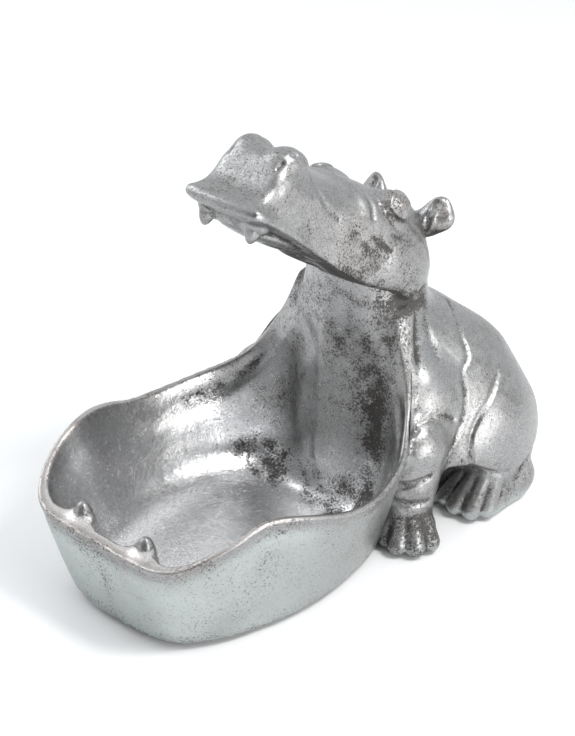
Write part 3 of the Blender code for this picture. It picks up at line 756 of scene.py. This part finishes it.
def model_tail():
    """A thin tail that hangs down, with a tuft of three locks."""
    root, bend, tip = (0, 170, 92), (0, 185, 81), (0, 187.0, 50)
    clay = Clay((-12, 160, 40), (12, 192, 100), TAIL_STEP, halved=False)
    clay.limb(root, bend, 3.8, 4.2, blend=2)
    clay.limb(bend, tip, 4.6, 3.0, blend=3)
    for lean in (-1.8, 0.0, 1.8):
        clay.limb((lean, 186, 62), (1.3 * lean, 186.8, 48.5), 1.9, 1.0, blend=0.8)
    return clay.skin(mirrored=False)


# ---- materials -----------------------

class Nodes:
    """Adds shader nodes to a material or a world, and wires them up."""

    def __init__(self, owner):
        owner.use_nodes = True
        self.owner = owner
        self.tree = owner.node_tree
        self.shader = next(node for node in self.tree.nodes if not node.type.startswith("OUTPUT"))

    def add(self, kind, inputs=None, **settings):
        node = self.tree.nodes.new("ShaderNode" + kind)
        for key, value in settings.items():
            setattr(node, key, value)
        for key, value in (inputs or {}).items():
            self.put(node.inputs[key], value)
        return node

    def put(self, socket, value):
        if isinstance(value, bpy.types.NodeSocket):
            self.tree.links.new(value, socket)
        else:
            socket.default_value = value

    def noise(self, place, scale, detail=3.0, roughness=0.55):
        """Noise from 0 to 1. Scale is in lumps for each millimetre."""
        node = self.add("TexNoise", {"Vector": place, "Scale": scale, "Detail": detail,
                                     "Roughness": roughness})
        return node.outputs["Fac"]

    def stretched(self, place, scale):
        return self.add("Mapping", {"Vector": place, "Scale": scale}).outputs[0]

    def bump(self, height, strength, distance):
        return self.add("Bump", {"Height": height, "Strength": strength, "Distance": distance}).outputs[0]

    def surface(self, colour, roughness, normal):
        self.put(self.shader.inputs["Base Color"], colour)
        self.put(self.shader.inputs["Roughness"], roughness)
        self.put(self.shader.inputs["Normal"], normal)

    def span(self, value, low, high, to_low=0.0, to_high=1.0):
        """The value's share of the way from low to high, on a scale from to_low to to_high."""
        node = self.add("MapRange", {"Value": value, "From Min": low, "From Max": high,
                                     "To Min": to_low, "To Max": to_high}, clamp=True)
        return node.outputs["Result"]

    def math(self, operation, a, b):
        node = self.add("Math", operation=operation)
        self.put(node.inputs[0], a)
        self.put(node.inputs[1], b)
        return node.outputs[0]

    def mix(self, share, a, b):
        node = self.add("Mix", data_type="RGBA")
        self.put(node.inputs[0], share)
        self.put(node.inputs[6], a)
        self.put(node.inputs[7], b)
        return node.outputs[2]

    def mark(self, name):
        return self.add("Attribute", attribute_name=name).outputs["Fac"]

    def millimetres(self):
        place = self.add("TexCoord").outputs["Object"]
        return self.add("VectorMath", {0: place, 1: (1000, 1000, 1000)}, operation="MULTIPLY").outputs[0]


def silver_leaf():
    """Antique silver leaf: mottled satin metal, dark where the wash has settled and where it has rubbed,
    with painted shade in its recesses and a painted sheen inside the bowl.
    """
    n = Nodes(bpy.data.materials.new("silver_leaf"))
    place = n.millimetres()
    wash_and_shade, blush, frost, polish_and_sheen = n.mark("wash_and_shade"), n.mark("blush"), n.mark("frost"), n.mark("polish_and_sheen")
    cloud = n.noise(place, 0.030, 4.0, 0.6)
    patch = n.noise(place, 0.14, 5.0, 0.65)
    grain = n.noise(place, 0.95, 4.0, 0.75)
    fleck = n.noise(place, 0.62, 6.0, 0.80)
    streak = n.noise(n.stretched(place, (1.0, 0.25, 0.45)), 0.8, 5.0, 0.72)

    bright = n.mix(n.span(patch, 0.34, 0.68), (0.33, 0.33, 0.325, 1), (0.50, 0.495, 0.49, 1))
    tone = n.mix(n.span(cloud, 0.4, 0.65), bright, (0.42, 0.425, 0.43, 1))
    tone = n.mix(n.span(grain, 0.38, 0.62, 0.68, 0.0), tone, (0.15, 0.147, 0.144, 1))
    # The bowl's lining: brighter, polished leaf, with a painted sheen standing in for the bright
    # reflections inside the bowl
    polished_lining_and_sheen = n.mix(n.span(grain, 0.34, 0.60), (0.56, 0.56, 0.56, 1), (0.92, 0.92, 0.925, 1))
    tone = n.mix(n.math("MULTIPLY", polish_and_sheen, 0.9), tone, polished_lining_and_sheen)
    tone = n.mix(n.math("MULTIPLY", blush, 0.55), tone, (0.54, 0.49, 0.46, 1))
    tone = n.mix(n.math("MULTIPLY", frost, 0.75), tone, (0.56, 0.61, 0.60, 1))

    # Dark wash with painted shade: flecks, thick in the recesses and thin on the open surfaces, with
    # streaks, and stains where the wash and the painted shade are deepest
    reach = n.math("ADD", n.span(wash_and_shade, 0.0, 1.0, 0.0, 0.23), n.span(cloud, 0.35, 0.7, 0.075, -0.01))
    edge = n.math("ADD", n.math("SUBTRACT", 0.62, reach), n.math("MULTIPLY", polish_and_sheen, 0.03))
    flecks = n.span(n.math("SUBTRACT", fleck, edge), 0.0, 0.06)
    wash_and_shade_stain = n.math("MULTIPLY", n.span(wash_and_shade, 0.2, 0.9), n.span(grain, 0.36, 0.62, 0.35, 1.0))
    streaks = n.math("MULTIPLY", n.span(streak, 0.58, 0.70), 0.42)
    dark = n.math("MAXIMUM", n.math("MAXIMUM", flecks, streaks), n.math("MULTIPLY", wash_and_shade_stain, 0.6))
    colour = n.mix(dark, tone, n.mix(grain, (0.026, 0.024, 0.023, 1), (0.12, 0.113, 0.106, 1)))

    satin = n.math("SUBTRACT", n.math("MULTIPLY", frost, 0.12), n.math("MULTIPLY", polish_and_sheen, 0.10))
    rough = n.math("ADD", n.span(patch, 0.3, 0.7, 0.24, 0.38), satin)
    rough = n.math("ADD", rough, n.math("MULTIPLY", dark, 0.28))
    relief = n.math("ADD", n.math("MULTIPLY", patch, 0.8), n.math("MULTIPLY", grain, 0.35))
    relief = n.math("SUBTRACT", relief, n.math("MULTIPLY", dark, 0.2))
    n.surface(colour, rough, n.bump(relief, 0.6, 0.0007))
    n.put(n.shader.inputs["Metallic"], n.span(dark, 0.0, 1.0, 1.0, 0.6))
    return n.owner


def felt():
    n = Nodes(bpy.data.materials.new("felt"))
    place = n.millimetres()
    fibre = n.noise(n.stretched(place, (1.0, 3.0, 1.0)), 3.0, 5.0, 0.75)
    lump = n.noise(place, 0.4)
    colour = n.mix(fibre, (0.012, 0.012, 0.013, 1), (0.075, 0.074, 0.076, 1))
    colour = n.mix(n.span(lump, 0.4, 0.7, 0.0, 0.4), colour, (0.05, 0.048, 0.05, 1))
    n.surface(colour, n.span(fibre, 0, 1, 0.86, 1.0), n.bump(fibre, 0.8, 0.0004))
    n.shader.inputs["Sheen Weight"].default_value = 0.35
    return n.owner


def bare_resin():
    n = Nodes(bpy.data.materials.new("bare_resin"))
    place = n.millimetres()
    cloud = n.noise(place, 0.12, 4.0)
    grit = n.noise(place, 1.6, 5.0, 0.7)
    tone = n.mix(n.span(cloud, 0.35, 0.65), (0.40, 0.36, 0.30, 1), (0.62, 0.58, 0.50, 1))
    colour = n.mix(n.span(grit, 0.62, 0.7), tone, (0.22, 0.19, 0.15, 1))
    n.surface(colour, n.span(grit, 0.3, 0.7, 0.5, 0.72), n.bump(grit, 0.4, 0.0003))
    return n.owner


def floor_paint():
    n = Nodes(bpy.data.materials.new("floor_paint"))
    place = n.add("TexCoord").outputs["Object"]
    haze = n.noise(place, 1.5, 2.0)
    n.put(n.shader.inputs["Base Color"], n.mix(haze, (0.93, 0.93, 0.935, 1), (0.95, 0.95, 0.95, 1)))
    n.shader.inputs["Roughness"].default_value = 0.9
    return n.owner


# ---- where the wash settles and the tints lie ----

def near_line(points, line):
    """Distance from each point to a line through some places, on either side of the hippo."""
    return to_path(np.abs(points[:, 0]), points[:, 1], points[:, 2], line)


def marks_for(points, quads, rounds=26, age=0.0):
    """Values for each point that the leaf's material reads.

    wash_and_shade: how much dark wash has settled and how much shade is painted, from creases, folds and
    the depth of the bowl, and under the jaw and head.
    blush: the warm tint along the lips and cheeks. frost: the pale, satin tint of the outer bowl and feet.
    polish_and_sheen: the bowl's inside, where the leaf is brightest: polished smoother, and painted
    brighter as a painted sheen.
    """
    crease = hollowness(points, quads, rounds)
    facing_down = -vertex_normals(points, quads)[:, 2]
    x, y, z = points.T
    beside = np.abs(x)
    angle = bearing(beside, y)
    depth = lip_height(angle) - z
    wall = outer_reach(angle, z) - np.hypot(x, y - BOWL_AXIS_Y)  # how far in from the bowl's outer wall
    of_bowl = (wall > -0.6) & (depth > -2.5)
    of_outside = (wall < 3.0) & (wall > -0.6) & (y < 45)
    wander = lattice_noise(points, 22, 5)
    blotch = lattice_noise(points, 6, 11)

    inside = np.where(of_bowl, step_up(wall, 3.5, 7.5), 0)
    rim = np.where(of_outside, step_down(depth, 4, 22), 0)
    hem = np.where(of_outside, step_down(z, 5, 22), 0)
    throat = step_down(beside, 44, 54) * step_up(y, -5, 35) * step_down(y, 60, 90)
    throat = throat * step_up(z, 60, 150) * step_down(z, 200, 235)
    # Painted shade in the pocket beside the throat's keel
    painted_pocket_shade = hill(near_line(points, POCKET), 17) * step_up(x, -4, 10)
    # Painted shadow on the throat below the upper jaw's overhanging edge
    jaw_y, jaw_z = np.array(UNDER_JAW)[:, 1:].T
    below_jaw = step_up(np.interp(y, jaw_y, jaw_z) - z, -2, 8) * step_down(y, 75, 100) * step_up(y, 0, 15)
    from_jaw = near_line(points, UNDER_JAW)
    painted_jaw_shadow = hill(from_jaw, 9) + 0.4 * hill(from_jaw, 34) * below_jaw
    # Painted shade on the head's downward-facing underside
    painted_head_underside_shade = step_up(facing_down, 0.25, 0.7) * step_up(z, 150, 170) * step_up(y, -45, -5)
    lines = sum(hill(near_line(points, line), 2.2) for line in CHEEK_LINES)
    cheek = step_up(z, 185, 200) * step_up(beside, 26, 36) * step_down(along_head(y, z)[0], 60, 100)
    paws = step_down(z, 26, 40) * step_up(y, 10, 20) * (2.2 - 1.8 * step_up(y, 62, 90))
    # Real wash and painted shade together: creases, pocket, jaw overhang and the head's underside carry
    # painted shade; the throat, outer rim, wall's foot and paws are darker too
    wash_and_shade = (np.clip(crease * 0.8, 0, 0.9) * (1 - 0.75 * inside) + 0.16 * rim + 0.22 * hem + 0.20 * throat
              + 0.05 * inside + 0.38 * painted_pocket_shade + 0.7 * painted_jaw_shadow + 0.75 * painted_head_underside_shade + 0.38 * lines
              + 0.16 * cheek + 0.2 * paws + age)
    wash_and_shade = np.clip(wash_and_shade * (1 + 0.4 * wander + 0.7 * blotch), 0, 1)

    lip = np.where(of_bowl, hill(np.clip(depth, 0, 40), 6.0), 0) * step_up(wall, 0.2, 1.4)
    blush = 0.9 * lip * (0.3 + 0.7 * step_down(y, -120, -30)) + 0.45 * cheek * (0.6 + 0.4 * wander)
    outside = np.where(of_outside, step_up(depth, 4, 16), 0) * (0.25 + 0.75 * step_down(y, -110, -20))
    outside = outside * np.clip(0.85 + 0.35 * wander, 0, 1)
    foot = step_down(z, 6, 15) * step_up(y, 15, 30)
    # Polished leaf inside the bowl, painted brighter as a painted sheen, except up the throat
    polish_and_sheen = inside * (1 - 0.8 * step_up(y, -5, 35) * step_up(z, 30, 70))
    return {"wash_and_shade": wash_and_shade, "blush": np.clip(blush, 0, 1), "frost": np.clip(outside + 0.8 * foot, 0, 1),
            "polish_and_sheen": polish_and_sheen}


# ---- the sculpture -------------------

def limit_like(clay, distance):
    """A second grid beside clay's that says where a casting ends. Above 0 is cut away."""
    limit = copy.copy(clay)
    limit.field = (distance + np.zeros(clay.field.shape)).astype(np.float32)
    return limit


def above_table(clay):
    return REST_HEIGHT - clay.whole()[2]


def cast(name, node, leaf, clay, edge, amount, rounds=26, age=0.0):
    """Skin the clay up to where edge is 0, finish it by hand and cover it in leaf."""
    points, quads = clay.skin(limit_like(clay, edge + SEAM))
    points, normals = hand_finish(clay, points, quads, amount)
    make_piece(name, points, quads, leaf, node, marks_for(points, quads, rounds, age), normals=normals)


def cast_bowl(leaf):
    clay = Clay(*BOWL_GRID)
    model_bowl(clay)
    cast("jaw_casting", "mouth_bowl", leaf, clay, above_neck_joint(clay), 0.28)


def cast_head(leaf):
    clay, neck, jaw = (Clay(*HEAD_GRID) for _ in range(3))
    model_head(clay)
    neck.limb(*NECK)
    model_bowl(jaw)
    below = joined(neck.field, jaw.field, JAW_FILLET)
    clay.field = joined(clay.field, below, HEAD_FILLET).astype(np.float32)
    cast("head_casting", "head", leaf, clay, -above_neck_joint(clay), 0.2, 22, 0.06)


def cast_body(leaf, guide):
    clay = Clay(*BODY_BOX, BODY_STEP, guide)
    body_forms(clay)
    body_folds(clay)
    jaw = Clay(*BODY_BOX, BODY_STEP)
    model_bowl(jaw)
    clay.field = joined(clay.field, jaw.field, JAW_FILLET).astype(np.float32)
    edge = np.maximum(above_neck_joint(clay), above_table(clay))
    for neighbour in (outside_bowl(clay), leg_shell(clay, "fore"), leg_shell(clay, "hind")):
        edge = np.maximum(edge, -neighbour)
    cast("body_casting", "body", leaf, clay, edge, 0.2)


def cast_legs(leaf, guide, kind, node):
    """Both legs of a kind, skinned once and mirrored."""
    clay = Clay(*LEG_GRIDS[kind], guide)
    body_forms(clay)
    body_folds(clay)
    edge = np.maximum(above_table(clay), -outside_bowl(clay))
    edge = np.maximum(edge, leg_shell(clay, kind))
    if kind == "hind":
        edge = np.maximum(edge, -leg_shell(clay, "fore"))
    points, quads = clay.skin(limit_like(clay, edge + SEAM), mirrored=False)
    points, normals = hand_finish(clay, points, quads, 0.2)
    for side, tag in SIDES:
        turned = points * (side, 1, 1)
        faces = outward(turned, quads)
        make_piece(node + tag + "_casting", turned, faces, leaf, node + tag, marks_for(turned, faces, 24),
                   normals=normals * (side, 1, 1))


def hand_finish(clay, points, quads, amount):
    """The slight unevenness that hand-sculpting leaves, pressed in and never out, and the new normals."""
    side = leftward(points)
    normals = clay.slope(points * side) * side
    uneven = 0.6 * lattice_noise(points, 26, 11) + 0.4 * lattice_noise(points, 9, 12)
    pressed = points - normals * (amount * (0.5 + 0.5 * uneven))[:, None]
    return pressed, unit(normals + vertex_normals(pressed, quads) - vertex_normals(points, quads))


def cast_small(node, leaf, shape, rounds, age):
    points, quads = shape
    make_piece(node + "_casting", points, quads, leaf, node, marks_for(points, quads, rounds, age))


def small_castings(leaf):
    x, y, z = LOWER_TUSK
    for side, tag in SIDES:
        cast_small("ear_" + tag, leaf, model_ear(side), 12, 0.05)
        upper = tusk(in_head(20.4 * side, 141.5, -17), in_head(20.4 * side, 141.0, -37), 6.8, 0.3)
        cast_small("upper_tusk_" + tag, leaf, upper, 6, 0.02)
        lower = tusk((x * side, y + 1, z - 10), (x * side, y + 0.5, z + 8.5), 7.0, 0.42)
        cast_small("lower_tusk_" + tag, leaf, lower, 6, 0.02)
    cast_small("tail", leaf, model_tail(), 10, 0.1)


def repaint_kept_nodes():
    paints = {"felt": felt(), "bare_resin": bare_resin()}
    for part in frame["record"]["subparts"]:
        if part["material_slot"] in paints:
            node = frame["nodes"][part["node"]]
            for place in node.material_slots:
                place.material = paints[part["material_slot"]]


# ---- studio --------------------------

CAMERA_AZIMUTH, CAMERA_ELEVATION = math.radians(43.49), math.radians(29.5)
LIGHT_TARGET = Vector((0, 0, 0.1))
UNLIT_SIDE = Vector((0.62, -0.70, 0.30)).normalized()


def add_light(name, place, size, power, colour=(1, 1, 1)):
    data = bpy.data.lights.new(name, "AREA")
    data.shape = "RECTANGLE"
    data.size, data.size_y = size
    data.energy = power
    data.color = colour
    light = add_object(name, data)
    light.location = place
    light.rotation_euler = (LIGHT_TARGET - Vector(place)).to_track_quat("-Z", "Y").to_euler()


def surroundings():
    """White surroundings, with the studio's unlit side in front of the hippo's left."""
    n = Nodes(bpy.data.worlds.new("studio"))
    place = n.add("TexCoord").outputs["Generated"]
    facing = n.add("VectorMath", {0: place, 1: UNLIT_SIDE}, operation="DOT_PRODUCT").outputs["Value"]
    level = n.add("MapRange", {"Value": facing, "From Min": 0.45, "From Max": 0.95, "To Min": 1.02,
                               "To Max": 0.15}, interpolation_type="SMOOTHSTEP")
    n.put(n.shader.inputs["Color"], (0.96, 0.98, 1.0, 1))
    n.put(n.shader.inputs["Strength"], level.outputs["Result"])
    return n.owner


def studio():
    camera_data = bpy.data.cameras.new("camera")
    camera_data.lens = 98.89
    camera_data.sensor_width = 36
    camera_data.clip_start = 0.02
    camera = add_object("camera", camera_data)
    camera.location = (0.8288, -0.8721, 0.8086)
    camera.rotation_euler = (math.pi / 2 - CAMERA_ELEVATION, 0, CAMERA_AZIMUTH)
    bpy.context.scene.camera = camera

    floor_mesh = bpy.data.meshes.new("floor")
    half = 6.0
    ground = [(-half, -half, 0), (half, -half, 0), (half, half, 0), (-half, half, 0)]
    floor_mesh.from_pydata(ground, [], [(0, 1, 2, 3)])
    floor_mesh.materials.append(floor_paint())
    floor = add_object("floor", floor_mesh)

    bpy.context.scene.world = surroundings()
    add_light("top_softbox", (0.69, 0.13, 1.15), (0.34, 0.34), 9)
    add_light("left_softbox", (-1.30, -0.30, 0.95), (0.6, 0.9), 6, (0.95, 0.98, 1.0))
    add_light("right_softbox", (1.30, 0.42, 0.42), (0.22, 0.28), 2.0, (1.0, 0.98, 0.95))
    add_light("low_softbox", (1.35, -0.15, 0.30), (0.34, 0.34), 6)
    bpy.context.scene.view_settings.view_transform = "Standard"


leaf = silver_leaf()
guide = Clay(*BODY_BOX, GUIDE_STEP)
body_forms(guide)
cast_bowl(leaf)
cast_head(leaf)
cast_body(leaf, guide)
cast_legs(leaf, guide, "fore", "foreleg_")
cast_legs(leaf, guide, "hind", "hind_leg_")
small_castings(leaf)
repaint_kept_nodes()
studio()
